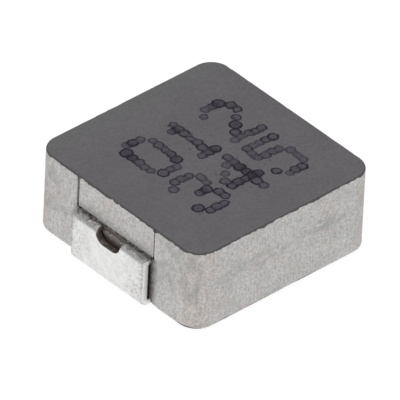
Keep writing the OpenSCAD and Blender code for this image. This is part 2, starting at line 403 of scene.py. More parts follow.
@dataclass(frozen=True)
class PressedPowder:
    """Iron powder pressed with resin: dark smooth skin above and below, bare ground sides, painted shade with
    some grimy smudging in the gaps.
    """

    block: Span
    strip: Span
    window_w: float
    skin: Colour = (0.104, 0.0985, 0.1065)
    skin_cloud: Colour = (0.112, 0.1065, 0.114)
    # Lighter, greener skin along the +Y edge of the top.
    skin_plus_y: Colour = (0.111, 0.113, 0.107)
    skin_rim: Colour = (0.066, 0.064, 0.064)
    bare: Colour = (0.518, 0.509, 0.500)
    bare_green: Colour = (0.458, 0.462, 0.447)
    bare_pink: Colour = (0.506, 0.472, 0.462)
    grain_dark: Colour = (0.285, 0.275, 0.270)
    grain_light: Colour = (0.640, 0.632, 0.622)
    # Painted shade, partly grimy: the dark colour of the press marks, the slit, and the end faces behind and
    # beside the strips.
    shade_and_grime: Colour = (0.052, 0.039, 0.033)
    # Painted shade in the windows' pockets, a little lighter than the colour above.
    window_shade: Colour = (0.105, 0.084, 0.073)
    # Painted light from above, on a powdery band at the top of the windows.
    light_and_dust: Colour = (0.370, 0.345, 0.330)
    smear: Colour = (0.290, 0.292, 0.290)
    corner: Colour = (0.480, 0.440, 0.416)
    wrap: float = 0.095
    wrap_below: float = 0.045
    pocket_roof: float = 0.42
    smear_band: tuple[float, float] = (2.02, 2.62)

    def material(self) -> bpy.types.Material:
        """Builds the material."""
        material, g = new_material("pressed_powder")
        ragged = g.wave(5.0, 3.0, 3.1)
        drag = g.noise((10.0, 10.0, 2.2), 3.0, 4.0)
        pits = g.noise((8.5, 8.5, 6.0), 3.0, 8.0).above(0.62, 0.055)
        flat = g.place("Z").above(self.block.high.z - 0.012, 0.006)
        skin = self._skin_mask(g, ragged)
        side = self._shaded_and_soiled(g, self._smeared(g, self._ground(g, drag, pits), ragged), ragged)
        relief = drag * 0.45 + g.noise(13.0, 3.0, 33.0) * 0.4 - pits * 0.35
        g.surface({
            "Base Color": g.mix(skin, side, self._top(g, ragged, flat)),
            "Roughness": 0.62 + 0.22 * g.wave(6.0, 2.0, 37.0) + 0.02 * flat,
            "Metallic": 0.0,
            "Specular IOR Level": 0.4,
            "Normal": g.bump(relief * (1.0 - skin) + g.noise(16.0, 2.0, 35.0) * skin * 0.12, 0.016),
        })
        return material

    def _skin_mask(self, g: Graph, ragged: Signal) -> Signal:
        """Where the skin lies: over the rims with torn edges, under the block and in the feet's pockets.

        Args:
            g: The graph.
            ragged: Noise for torn edges.

        Returns:
            The mask.
        """
        x, y, z = g.folded()
        low, high = self.block.low, self.block.high
        torn = ragged * 0.14 + g.wave(15.0, 2.0, 9.4) * 0.05 + g.wave(1.7, 2.0, 57.0) * 0.16
        at_mark = abs(y - self.strip.high.y - MARK_OFFSET).below(0.09, 0.09) * x.above(high.x - 0.3, 0.1)
        above = (z + torn + at_mark * 0.11).above(high.z - self.wrap, 0.010)
        sag = g.wave(0.7, 2.0, 53.0) * 0.3 + ragged * 0.05
        under = (z + sag).below(low.z + self.wrap_below, 0.01) | z.below(low.z + 0.012, 0.006)
        pocket = y.below(self.strip.high.y + 0.3, 0.04) & z.below(self.pocket_roof, 0.04) & x.below(high.x - 0.02, 0.008)
        return above | under | pocket

    def _top(self, g: Graph, ragged: Signal, flat: Signal) -> Signal:
        """Colour of the skin: faintly cloudy, a little lighter and greener towards +Y, and dark over the rim.

        Args:
            g: The graph.
            ragged: Noise for torn edges.
            flat: Mask of the flat top face.

        Returns:
            The colour.
        """
        y = g.place("Y")
        top = g.mix(g.noise(0.55, 3.0, 1.5).above(0.5, 0.22), self.skin, self.skin_cloud)
        # Lighter towards the +Y edge of the top.
        lighter_to_plus_y = (y + g.wave(0.4, 2.0, 41.0) * 3.0).above(3.7, 1.7)
        top = g.mix((y + ragged).above(4.45, 0.55) * 0.6, top, self.skin_plus_y)
        grain = g.wave(8.0, 4.0, 5.5, 0.6) * 0.66 + g.wave(2.5, 2.0, 6.5) * 0.14
        return g.mix(flat, self.skin_rim, g.shade(top, 0.93 + grain + lighter_to_plus_y * 0.07))

    def _ground(self, g: Graph, drag: Signal, pits: Signal) -> Signal:
        """Colour of the clean sides: two tints, upright drag lines, sandy grain, dark pits and bright points.

        Args:
            g: The graph.
            drag: Noise drawn out along the stroke of the press.
            pits: Mask of the dark pits.

        Returns:
            The colour.
        """
        x, y, _ = g.folded()
        side = g.mix(g.noise(0.8, 2.0, 7.7).above(0.52, 0.16), self.bare, self.bare_pink)
        side = g.mix(g.noise(1.9, 3.0, 2.2).above(0.54, 0.14) * 0.75, side, self.bare_green)
        past = self.block.high.x + self.block.high.y - 0.85
        side = g.mix((x + y + g.wave(1.2, 2.0, 43.0) * 0.5).above(past, 0.25) * 0.8, side, self.corner)
        sand = g.wave((9.5, 9.5, 8.0), 4.0, 6.1, 0.65) * 1.5 + g.wave(1.1, 3.0, 45.0) * 0.28
        side = g.shade(side, 1.03 + (drag - 0.5) * 0.42 + sand)
        points = g.noise((10.0, 10.0, 7.5), 2.0, 12.0).above(0.635, 0.06)
        return g.mix(points * 0.55, g.mix(pits * 0.55, side, self.grain_dark), self.grain_light)

    def _smeared(self, g: Graph, side: Signal, ragged: Signal) -> Signal:
        """Adds the grey smears: a band along the long sides and blots beside the strips.

        Args:
            g: The graph.
            side: Colour of the clean sides.
            ragged: Noise for torn edges.

        Returns:
            The colour with smears.
        """
        x, y, z = g.folded()
        low, high = self.smear_band
        band = (z + g.wave(1.1, 2.0, 15.0) * 0.9).above(low, 0.20) & (z + ragged * 0.6).below(high, 0.22)
        band = band * g.noise((1.6, 1.6, 3.2), 3.0, 18.0).above(0.50, 0.16)
        band = band * x.below(3.6, 0.7) * y.above(4.9, 0.05)
        blots = x.above(self.block.high.x - 0.4, 0.1) * y.above(self.strip.high.y + 0.2, 0.15) \
            * g.noise((2.2, 2.2, 1.5), 3.0, 47.0).above(0.53, 0.14) * z.above(1.3, 0.5)
        return g.mix((band | blots) * 0.52, side, self.smear)

    def _shaded_and_soiled(self, g: Graph, side: Signal, ragged: Signal) -> Signal:
        """Adds the painted shade of the end faces, partly grimy: in the press marks and the slit, round and
        behind the strip, and in its window.

        Args:
            g: The graph.
            side: Colour of the sides.
            ragged: Noise for torn edges.

        Returns:
            The colour with painted shade and grimy smudging.
        """
        x, y, z = g.folded()
        edge, exit_z = self.strip.high.y, self.strip.high.z
        at_end = x.above(self.block.high.x - 0.6, 0.05)
        # Darker beside the strip below the slit: partly painted shadow of the strip, partly grimy smudging.
        beside = (y + g.wave(3.0, 3.0, 21.0) * 0.30).below(edge + 0.23, 0.24)
        low = (z + ragged * 0.2).below(exit_z + 0.03, 0.05)
        wide = (g.place("X") * g.place("Y")).below(0.0, 0.5)
        # Painted shade in the recesses by the strip, the press marks and the slit; weaker in the marks above the
        # slit.
        inside = (y - wide * 0.15).below(edge + 0.145, 0.01) & x.below(self.block.high.x - 0.012, 0.006) \
            & z.below(self.block.high.z - 0.12, 0.01)
        # Painted shade behind the strip and in its window, where only shade falls.
        behind = y.below(edge + 0.01, 0.04) & z.below(exit_z + 0.02, 0.02)
        marks = inside * (1.0 - z.above(exit_z + 0.12, 0.08) * 0.62)
        # Painted shade in the marks and behind the strip, and painted shadow with grimy smudging beside it.
        shade_and_dirt = at_end * (marks | behind | (beside * low * (0.90 + 0.7 * g.wave(6.0, 2.0, 25.0))))

        # In the window, from the top down: a dark painted shadow line under the slit, a band of painted light
        # with a powdery tone, and painted shade below.
        plug = y.below(self.window_w / 2 + 0.03, 0.03)
        shadow_line = (z + ragged * 0.20).above(exit_z - 0.24, 0.025)
        strokes = abs(g.wave(6.5, 3.0, 31.0, 0.6)).below(0.040, 0.025)
        light_and_dust = plug * (z + ragged * 0.2).above(exit_z - 0.43, 0.16) * (1.0 - (shadow_line | strokes) * 0.8)
        shade_and_grime = g.mix(plug * (1.0 - shadow_line), self.shade_and_grime, self.window_shade)
        side = g.mix(shade_and_dirt, side, g.mix(light_and_dust * 0.95, shade_and_grime, self.light_and_dust))

        # Painted shadow, with some grimy smudging, darkening the end face just above the slit.
        over_slit = at_end * y.below(edge + 0.05, 0.1) * z.above(exit_z, 0.05)
        return g.shade(side, 1.0 - over_slit * (z + ragged * 0.25).below(exit_z + 0.30, 0.30) * 0.36)


@dataclass(frozen=True)
class TinPlate:
    """Dull tin on rolled copper: bright, faintly mottled, darker at the upper bend and on the tab with soot,
    tarnished patches and a painted dim reflection.
    """

    strip: Span
    block: Span
    thickness: float
    tin: Colour = (0.765, 0.772, 0.768)
    tin_warm: Colour = (0.715, 0.700, 0.680)
    # Dark grey of tarnished specks, also the painted dim reflection at the upper bend and on the tab.
    tarnish_and_dim_reflection: Colour = (0.275, 0.268, 0.268)
    # Dark brown of soot, also painted shade on the strip's faces in the gap and inside the slit.
    soot: Colour = (0.085, 0.075, 0.068)
    # Bright colour of the cut side faces: a shear zone with a painted highlight.
    sheared_and_highlight: Colour = (0.900, 0.910, 0.905)

    def material(self) -> bpy.types.Material:
        """Builds the material."""
        material, g = new_material("tinned_copper")
        x, y, z = g.folded()
        mottle = g.noise(6.0, 4.0, 5.0, 0.6)
        ragged = g.wave(4.5, 3.0, 29.0)
        # The upper bend and the tab, darkened by tarnished patches and a painted dim reflection.
        upper = (z + ragged * 0.20).above(self.strip.high.z - 0.085, 0.035)
        left = (g.place("X") * g.place("Y")).below(0.0, 9.0)
        blotch = 1.08 + 2.8 * g.wave(5.0, 4.0, 11.0, 0.65) - left * 0.42
        tin = g.mix(upper * (blotch & 1.0), self._clean(g, mottle), self.tarnish_and_dim_reflection)
        # Painted shade on the rounded rollover edge of the plated face.
        rolled = y.above(self.strip.high.y - 0.13, 0.04) * y.below(self.strip.high.y - 0.035, 0.02)
        tin = g.shade(tin, 1.0 - rolled * (0.20 + 0.5 * ragged))
        soot = self._soot_mask(g, upper, left)
        # Painted shade on the strip's faces that turn towards the block, in the narrow gap.
        gap_shade = x.below(self.strip.high.x - self.thickness - 0.01, 0.012) * z.above(0.32, 0.02) \
            * z.below(self.strip.high.z - 0.04, 0.02)
        colour = g.mix(soot | (gap_shade * 0.8), tin, self.soot)
        # The strip's cut side faces: a bright shear zone in streaks, partly painted highlight.
        sheared_and_highlight = y.above(self.strip.high.y - 0.012, 0.008)
        bright = sheared_and_highlight * (1.0 - soot) * (0.6 + 1.6 * g.wave((3.0, 9.0, 1.2), 3.0, 31.0))
        dull = soot | gap_shade
        height = g.noise(5.0, 3.0, 20.0) * 0.6 + mottle * 0.3 + g.noise(18.0, 2.0, 23.0) * 0.12
        g.surface({
            "Base Color": g.mix(bright, colour, self.sheared_and_highlight),
            "Metallic": 1.0 - 0.85 * dull - 0.6 * (sheared_and_highlight & (1.0 - dull)),
            "Roughness": 0.36 + 0.20 * (mottle - 0.4) + 0.18 * upper + 0.2 * sheared_and_highlight,
            "Normal": g.bump(height, 0.012, 0.9),
        })
        return material

    def _clean(self, g: Graph, mottle: Signal) -> Signal:
        """Colour of the plating away from the bend, with dark specks where it was handled near its edges.

        Args:
            g: The graph.
            mottle: Noise of the plating's mottle.

        Returns:
            The colour.
        """
        cloud = g.noise(1.7, 3.0, 2.0)
        tin = g.mix(cloud.above(0.52, 0.18) * 0.8, self.tin, self.tin_warm)
        tin = g.shade(tin, 1.0 + (mottle - 0.5) * 0.44 + g.wave((13.0, 13.0, 8.0), 3.0, 8.0, 0.6) * 0.30)
        handled = (abs(g.place("Y")) + (cloud - 0.5) * 2.0).above(self.strip.high.y - 0.75, 0.6)
        specks = g.noise(9.0, 3.0, 27.0, 0.55).above(0.585, 0.11) * handled
        return g.shade(g.mix(specks * 0.60, tin, self.tarnish_and_dim_reflection), 1.0 - handled * 0.03)

    def _soot_mask(self, g: Graph, upper: Signal, left: Signal) -> Signal:
        """Where soot from the press lies: along the slit, at the strip's corners and in fine cracks; inside the
        slit the same colour is partly painted shade.

        Args:
            g: The graph.
            upper: Mask of the upper bend and the tab.
            left: 1 at the one side of the strip, 0 at the other.

        Returns:
            The mask.
        """
        x, y, z = g.folded()
        cracks = abs(g.wave(2.6, 4.0, 19.0, 0.6)).below(0.010, 0.010) * 0.55
        spread = g.wave(4.0, 3.0, 14.0) * 0.60 + left * 0.03
        at_slit = (x - spread).below(self.block.high.x + 0.08, 0.06)
        corner = y.above(self.strip.high.y - 0.55, 0.35) * g.noise(6.0, 3.0, 17.0).above(0.485, 0.08)
        dull = g.noise(6.0, 4.0, 39.0, 0.65).above(0.49, 0.08) * (0.50 - left * 0.38)
        stains = (at_slit * 0.90) | (corner * (0.50 + left * 0.45)) | cracks | dull
        # Inside the slit the tab takes the soot colour all over: partly soot, partly painted shade.
        return (upper * stains) | (at_slit * z.above(self.strip.high.z - 0.32, 0.02))


@dataclass(frozen=True)
class BareCopper:
    """Punched copper edge, oxidised nearly black, with painted light towards its top."""

    copper: Colour = (0.135, 0.110, 0.095)
    oxide: Colour = (0.052, 0.044, 0.038)

    def material(self) -> bpy.types.Material:
        """Builds the material."""
        material, g = new_material("oxidised_copper")
        drag = g.noise((3.0, 3.0, 9.0), 3.0, 3.0)
        colour = g.mix(drag.above(0.53, 0.14), self.oxide, self.copper)
        # Painted light: the window's punched wall is lighter towards its top, where light falls in through the
        # window.
        colour = g.shade(colour, 1.0 + g.place("Z").above(2.1, 0.25) * 0.8)
        g.surface({
            "Base Color": colour,
            "Metallic": 0.35,
            "Roughness": 0.52 + 0.3 * (drag - 0.5),
            "Normal": g.bump(drag, 0.012),
        })
        return material


@dataclass(frozen=True)
class Soot:
    """Loose powder and resin squeezed out of the slit."""

    dark: Colour = (0.060, 0.052, 0.047)
    dusty: Colour = (0.210, 0.195, 0.185)

    def material(self) -> bpy.types.Material:
        """Builds the material."""
        material, g = new_material("powder_flash")
        cloud = g.noise(6.0, 3.0, 2.0)
        g.surface({
            "Base Color": g.mix(cloud.above(0.54, 0.12), self.dark, self.dusty),
            "Roughness": 0.7 + 0.2 * (cloud - 0.5),
            "Normal": g.bump(g.noise(25.0, 2.0, 4.0), 0.008),
        })
        return material


@dataclass(frozen=True)
class DriedInk:
    """Ink that dried thicker at the rim of each drop and where two drops meet."""

    thin: Colour = (0.086, 0.078, 0.094)
    thick: Colour = (0.013, 0.010, 0.018)
    attribute: str = "ink_density"

    def material(self) -> bpy.types.Material:
        """Builds the material."""
        material, g = new_material("dried_ink")
        density = (g.attribute(self.attribute) + g.wave(9.0, 3.0, 2.0) * 0.35) & 1.0
        g.surface({
            "Base Color": g.mix(density, self.thin, self.thick),
            "Roughness": 0.62 - 0.12 * density,
            "Specular IOR Level": 0.15,
            "Normal": g.bump(g.noise(16.0, 2.0, 6.0), 0.004),
        })
        return material


@dataclass(frozen=True)
class EnamelledCopper:
    """Copper wire under clear enamel, with faint drawing lines along it."""

    copper: Colour = (0.640, 0.270, 0.130)
    brown: Colour = (0.420, 0.165, 0.075)

    def material(self) -> bpy.types.Material:
        """Builds the material."""
        material, g = new_material("enamelled_copper")
        cloud = g.noise(1.3, 3.0, 2.0)
        lines = g.noise((1.0, 1.0, 22.0), 2.0, 5.0)
        g.surface({
            "Base Color": g.mix(cloud.above(0.5, 0.2), self.copper, self.brown),
            "Metallic": 0.9,
            "Roughness": 0.28 + 0.2 * (lines - 0.5),
            "Coat Weight": 0.8 + 0.2 * (cloud - 0.5),
            "Normal": g.bump(lines, 0.004),
        })
        return material


# --------------------------------------------------------------------------------------
# Sub-assemblies
# --------------------------------------------------------------------------------------

@dataclass
class PressedBlock:
    """The pressed block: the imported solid's form with worn rims, uneven press marks and narrow slits."""

    node: str = "moulded_body"
    corner_r: float = 0.95
    merge: float = 0.0005
    cell: float = 0.16
    rim_cell: float = 0.035
    rim_band: float = 0.14
    side_rough: float = 0.008
    top_rough: float = 0.0012
    chip: float = 0.045
    mark_reach: float = 0.16
    wide_mark: tuple[float, float] = (1.15, 1.7)
    thin_mark: float = 0.6
    slit: float = 0.15
    slit_depth: float = 0.3
    lip: float = 0.075
    mark_depth: float = 0.12
    mark_half: float = 0.06
    wear_reach: float = 0.13
    rim_wear: float = 0.07
    even_wear: float = 0.006

    def build(self, finish: bpy.types.Material) -> bpy.types.Object:
        """Builds the block and dresses it.

        Args:
            finish: The powder's material.

        Returns:
            The block, standing for its CAD node.
        """
        span = Span.of(self.node)
        bm = self._copy()
        self._slice(bm, span)
        for vertex in bm.verts:
            vertex.co = self._worn(self._marked(vertex.co, span), span)
        bmesh.ops.triangulate(bm, faces=[f for f in bm.faces if len(f.verts) > 4])
        piece = hand_over("block", bm, [finish])
        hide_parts(self.node)
        return piece

    def _copy(self) -> bmesh.types.BMesh:
        """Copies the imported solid, in millimetres, with its triangles joined into plain faces."""
        bm = bmesh.new()
        bm.from_mesh(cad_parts[self.node].data)
        bmesh.ops.scale(bm, vec=(1 / MM,) * 3, verts=bm.verts)
        bmesh.ops.remove_doubles(bm, verts=bm.verts, dist=self.merge)
        bmesh.ops.dissolve_limit(bm, angle_limit=math.radians(0.3), verts=bm.verts, edges=bm.edges)
        return bm

    def _slice(self, bm: bmesh.types.BMesh, span: Span) -> None:
        """Cuts the faces into cells, small ones along the upper rim.

        Args:
            bm: The block.
            span: Its box.
        """
        low, high = span.low, span.high
        for axis in (0, 1):
            inner = high[axis] - self.rim_band
            slice_along(bm, axis, steps(-inner, inner, self.cell))
            for side in (-1, 1):
                slice_along(bm, axis, [side * v for v in steps(inner, high[axis], self.rim_cell * 1.5)])
        slice_along(bm, 2, steps(low.z, high.z - self.rim_band, self.cell))
        slice_along(bm, 2, steps(high.z - self.rim_band, high.z, self.rim_cell))

    def _marked(self, point: Vector, span: Span) -> Vector:
        """Lowers the slit's upper lip, and makes one press mark wide and tapered and the other thin.

        Args:
            point: A point of the block.
            span: The block's box.

        Returns:
            The point, moved when it lies on the lip or at a mark.
        """
        strip = Span.of(End.RIGHT.node)
        centre = strip.high.y + MARK_OFFSET
        offset, inwards = abs(point.y) - centre, span.high.x - abs(point.x)
        if abs(point.z - strip.high.z - self.slit) < 0.01 and inwards < self.slit_depth and offset < 0.08:
            return Vector((point.x, point.y, point.z - self.lip))
        over_slit = point.z - strip.high.z - self.slit
        if inwards > self.mark_depth or abs(offset) > self.mark_reach or over_slit < 0.01:
            return point
        wide = point.y * point.x < 0
        rise = (point.z - strip.high.z) / (span.high.z - strip.high.z)
        below, above = self.wide_mark if wide else (self.thin_mark, self.thin_mark)
        factor = below + (above - below) * rise
        fade = 1.0 - max(0.0, abs(offset) - self.mark_half) / (self.mark_reach - self.mark_half)
        spread = offset * (1.0 + (factor - 1.0) * fade)
        return Vector((point.x, math.copysign(centre + spread, point.y), point.z))

    def _worn(self, point: Vector, span: Span) -> Vector:
        """Roughens the outside and chips the rims.

        Args:
            point: A point of the block.
            span: The block's box.

        Returns:
            The point, moved inwards by the wear there.
        """
        straight = Vector((span.high.x - self.corner_r, span.high.y - self.corner_r))
        over = Vector((max(0.0, abs(point.x) - straight.x), max(0.0, abs(point.y) - straight.y)))
        depth = self.corner_r - over.length  # distance inside the upright wall
        drop = span.high.z - point.z
        rise = point.z - span.low.z
        if min(depth, drop, rise) > self.wear_reach:
            return point
        away = Vector((math.copysign(over.x, point.x), math.copysign(over.y, point.y), 0.0)).normalized()
        moved = point.copy()
        if depth < 0.02:
            rough = 0.5 + 0.35 * noise.noise(point * 2.1) + 0.25 * noise.noise(point * 8.3)
            moved -= away * self.side_rough * max(0.0, rough)
        if drop < 0.01:
            moved.z -= self.top_rough * (0.5 + 0.5 * noise.noise(point * 1.7))
        for gap, way, most in ((drop, -1.0, self.chip), (rise, 1.0, self.chip * 0.6)):
            near = math.exp(-((gap / self.rim_wear) ** 2) - ((max(0.0, depth) / self.rim_wear) ** 2))
            if near > 0.02:
                bite = 0.60 * noise.noise(point * 1.6 + Vector((9.0, 2.0, 4.0))) \
                    + 0.50 * noise.noise(point * 4.2 + Vector((1.0, 7.0, 3.0)))
                worn = self.even_wear + most * max(0.0, bite - 0.10)
                moved += (Vector((0.0, 0.0, way)) * 0.7 - away) * worn * near
        return moved


@dataclass
class LeadStrip:
    """One lead strip, punched flat with its window, bevelled, and bent round the end of the block."""

    end: End
    thickness: float = 0.3
    bend_r: float = 0.35
    tab_depth: float = 1.0
    block_end: float = 4.95
    window_w: float = 1.45
    window_drop: float = 0.6
    window_depth: float = 0.4
    window_r: tuple[float, float] = (0.35, 0.46)
    burr: float = 0.03
    rollover: float = 0.085
    cell: float = 0.15
    fine_cell: float = 0.06
    bend_steps: tuple[float, float] = (7.5, 10.0)
    lumps: float = 0.014
    lump_reach: float = 0.45
    edge_wave: float = 0.012
    edge_band: float = 0.2
    span: Span = field(init=False)

    def __post_init__(self) -> None:
        """Reads the strip's box."""
        self.span = Span.of(self.end.node)

    @property
    def _neutral_r(self) -> float:
        """Radius of the bends at the middle of the strip's thickness."""
        return self.bend_r - self.thickness / 2

    @property
    def _stations(self) -> tuple[float, float, float, float, float]:
        """Where the upper bend, the plate, the lower bend and the foot begin along the strip, and its length."""
        reach = max(abs(self.span.low.x), abs(self.span.high.x))
        foot = min(abs(self.span.low.x), abs(self.span.high.x))
        tab = reach - self.bend_r - (self.block_end - self.tab_depth)
        arc = self._neutral_r * math.pi / 2
        plate = self.span.size.z - 2 * self.bend_r
        first = tab + arc
        second = first + plate
        third = second + arc
        return tab, first, second, third, third + reach - self.bend_r - foot

    def build(self, tin: bpy.types.Material, punched: bpy.types.Material) -> bpy.types.Object:
        """Builds the strip and dresses it.

        Args:
            tin: The plated faces' material.
            punched: The material of the window's punched edge.

        Returns:
            The strip, standing for its CAD node.
        """
        bm = self._flat_blank()
        self._slice(bm)
        self._mark_window(bm)
        for vertex in bm.verts:
            vertex.co = self._bent(self._lumpy(vertex.co))
        bmesh.ops.triangulate(bm, faces=[f for f in bm.faces if len(f.verts) > 4])
        bmesh.ops.recalc_face_normals(bm, faces=bm.faces)
        piece = hand_over("lead_strip_" + self.end.name.lower(), bm, [tin, punched])
        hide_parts(self.end.node)
        return piece

    def _window(self) -> tuple[float, float]:
        """Where the window begins and ends along the strip."""
        tab, first, *_ = self._stations
        begins = self.tab_depth - self.window_depth
        return begins, first + self.window_drop - self.bend_r

    def _flat_blank(self) -> bmesh.types.BMesh:
        """Punches the flat strip, with its rounded window, and breaks its edges."""
        length, width = self._stations[-1], self.span.size.y
        bm = bmesh.new()
        bmesh.ops.create_cube(bm, size=1.0)
        bmesh.ops.scale(bm, vec=(length, width, self.thickness), verts=bm.verts)
        bmesh.ops.translate(bm, vec=(length / 2, 0.0, 0.0), verts=bm.verts)
        begins, ends = self._window()
        punch = bmesh.new()
        bmesh.ops.create_cube(punch, size=1.0)
        bmesh.ops.scale(punch, vec=(ends - begins, self.window_w, self.thickness * 2), verts=punch.verts)
        bmesh.ops.translate(punch, vec=((begins + ends) / 2, 0.0, 0.0), verts=punch.verts)
        for place, radius in zip((begins, ends), self.window_r):
            upright = [e for e in punch.edges if all(abs(v.co.x - place) < 1e-4 for v in e.verts)
                       and abs((e.verts[0].co - e.verts[1].co).z) > self.thickness]
            self._round(punch, upright, radius, 10)
        bm = carve(bm, punch)
        outer = [e for e in bm.edges if all(abs(v.co.y) > width / 2 - 1e-4 and v.co.z > 0 for v in e.verts)
                 and e.calc_face_angle() > math.radians(60)]
        self._round(bm, outer, self.rollover, 3)
        self._round(bm, [e for e in bm.edges if e.calc_face_angle() > math.radians(60)], self.burr, 2)
        return bm

    @staticmethod
    def _round(bm: bmesh.types.BMesh, edges: list[bmesh.types.BMEdge], radius: float, segments: int) -> None:
        """Rounds edges of a mesh to a radius."""
        bmesh.ops.bevel(bm, geom=edges, offset=radius, offset_type="OFFSET", segments=segments,
                        profile=0.5, affect="EDGES", material=-1)

    def _slice(self, bm: bmesh.types.BMesh) -> None:
        """Cuts the blank into cells, close together where it bends and shows."""
        tab, first, second, third, length = self._stations
        begins, ends = self._window()
        half = self.span.size.y / 2
        lengths = steps(0.0, begins, self.cell) + [begins] + steps(begins, tab, self.fine_cell) + [tab]
        lengths += steps(tab, first, self._neutral_r * math.radians(self.bend_steps[0])) + [first]
        lengths += steps(first, ends + 0.1, self.fine_cell) + steps(ends + 0.1, second, self.cell) + [second]
        lengths += steps(second, third, self._neutral_r * math.radians(self.bend_steps[1])) + [third]
        lengths += steps(third, length, self.cell)
        slice_along(bm, 0, lengths)
        slice_along(bm, 1, steps(-half, half, self.cell * 0.6))

    def _mark_window(self, bm: bmesh.types.BMesh) -> None:
        """Gives the window's punched wall the second material."""
        begins, ends = self._window()
        reach = self.burr * 1.05
        bm.normal_update()
        for face in bm.faces:
            if abs(face.normal.z) < 0.95 and all(
                    begins - reach < v.co.x < ends + reach and abs(v.co.y) < self.window_w / 2 + reach
                    for v in face.verts):
                face.material_index = 1

    def _lumpy(self, point: Vector) -> Vector:
        """Sinks the plated outer face here and there, most at the upper bend.

        Args:
            point: A point of the flat strip.

        Returns:
            The point, with its height changed.
        """
        tab, first, *_ = self._stations
        share = math.exp(-(((point.x - (tab + first) / 2) / self.lump_reach) ** 2))
        spot = Vector((point.x, point.y + self.end.value * 20.0, 0.0))
        lump = 0.5 + 0.5 * noise.noise(spot * 2.6) + 0.3 * noise.noise(spot * 7.0)
        sink = self.lumps * (0.25 + share) * max(0.0, lump)
        upper = max(0.0, point.z / (self.thickness / 2))
        near_edge = max(0.0, abs(point.y) - self.span.size.y / 2 + self.edge_band) / self.edge_band
        edge = self.edge_wave * noise.noise(Vector((point.x * 3.0, self.end.value * 5.0, 1.0))) * near_edge
        side = math.copysign(max(0.0, abs(point.y) - abs(edge)), point.y)
        return Vector((point.x, side, point.z - sink * upper))

    def _bent(self, point: Vector) -> Vector:
        """Takes a point of the flat strip to its place on the bent one.

        Args:
            point: Distance along the strip, place across it, and height over its middle.

        Returns:
            The place on the part.
        """
        tab, first, second, third, length = self._stations
        bend_x = self.block_end - self.tab_depth + tab
        top = self.span.high.z - self.bend_r
        along, height = point.x, point.z
        if along <= tab:
            x, z = bend_x - tab + along, top + self._neutral_r + height
        elif along <= first:
            turn = (along - tab) / self._neutral_r
            x = bend_x + (self._neutral_r + height) * math.sin(turn)
            z = top + (self._neutral_r + height) * math.cos(turn)
        elif along <= second:
            x, z = bend_x + self._neutral_r + height, top - (along - first)
        elif along <= third:
            turn = (along - second) / self._neutral_r
            x = bend_x + (self._neutral_r + height) * math.cos(turn)
            z = self.bend_r - (self._neutral_r + height) * math.sin(turn)
        else:
            x, z = bend_x - (along - third), self.bend_r - self._neutral_r - height
        return Vector((self.end.value * x, point.y, z))


@dataclass
class PowderFlash:
    """Crumbs of powder and resin that stick along the slit over one strip."""

    end: End
    count: int = 190
    sizes: tuple[float, float] = (0.022, 0.075)
    reach: tuple[float, float] = (-0.14, 0.03)
    heap_from: float = 1.1
    heap_reach: float = 0.07
    window_half: float = 0.78
    seed: int = 11

    def build(self, finish: bpy.types.Material) -> bpy.types.Object:
        """Builds the crumbs and dresses them.

        Args:
            finish: The crumbs' material.

        Returns:
            The crumbs, as one piece.
        """
        strip, block = Span.of(self.end.node), Span.of("moulded_body")
        draw = random.Random(self.seed + self.end.value)
        bm = bmesh.new()
        for _ in range(self.count):
            size = draw.uniform(*self.sizes)
            y = draw.uniform(-1.0, 1.0) * (strip.high.y - size)
            heap = self.heap_reach if y * self.end.value < -self.heap_from else 0.0
            out = draw.uniform(*self.reach) + heap * draw.random()
            z = strip.high.z + size * draw.uniform(0.1, 0.8)
            spot = Vector((self.end.value * (block.high.x + out), y, z))
            if abs(y) < self.window_half:  # over the window there is no tab to lie on
                spot.x = self.end.value * (block.high.x - size * 0.3 - 0.1 * draw.random())
            self._crumb(bm, spot, size, draw)
        piece = hand_over("powder_flash_" + self.end.name.lower(), bm, [finish], 60.0)
        return piece

    @staticmethod
    def _crumb(bm: bmesh.types.BMesh, spot: Vector, size: float, draw: random.Random) -> None:
        """Adds one crumb.

        Args:
            bm: The crumbs made so far.
            spot: Its middle.
            size: Its radius.
            draw: Source of the random numbers.
        """
        made = bmesh.ops.create_icosphere(bm, subdivisions=2, radius=size)["verts"]
        shift = Vector((draw.uniform(0, 9), draw.uniform(0, 9), draw.uniform(0, 9)))
        flat = Vector((draw.uniform(0.7, 1.2), draw.uniform(0.9, 1.7), draw.uniform(0.35, 0.7)))
        for vertex in made:
            swell = 1.0 + 0.45 * noise.noise(vertex.co / size * 1.1 + shift)
            vertex.co = Vector(a * b for a, b in zip(vertex.co * swell, flat))
        bmesh.ops.translate(bm, vec=spot, verts=made)


@dataclass(frozen=True)
class Drop:
    """One drop of ink: its middle, its radius, how wet it fell and how much of its own ring it keeps."""

    middle: Vector
    radius: float
    wet: float
    ring: float = 1.0


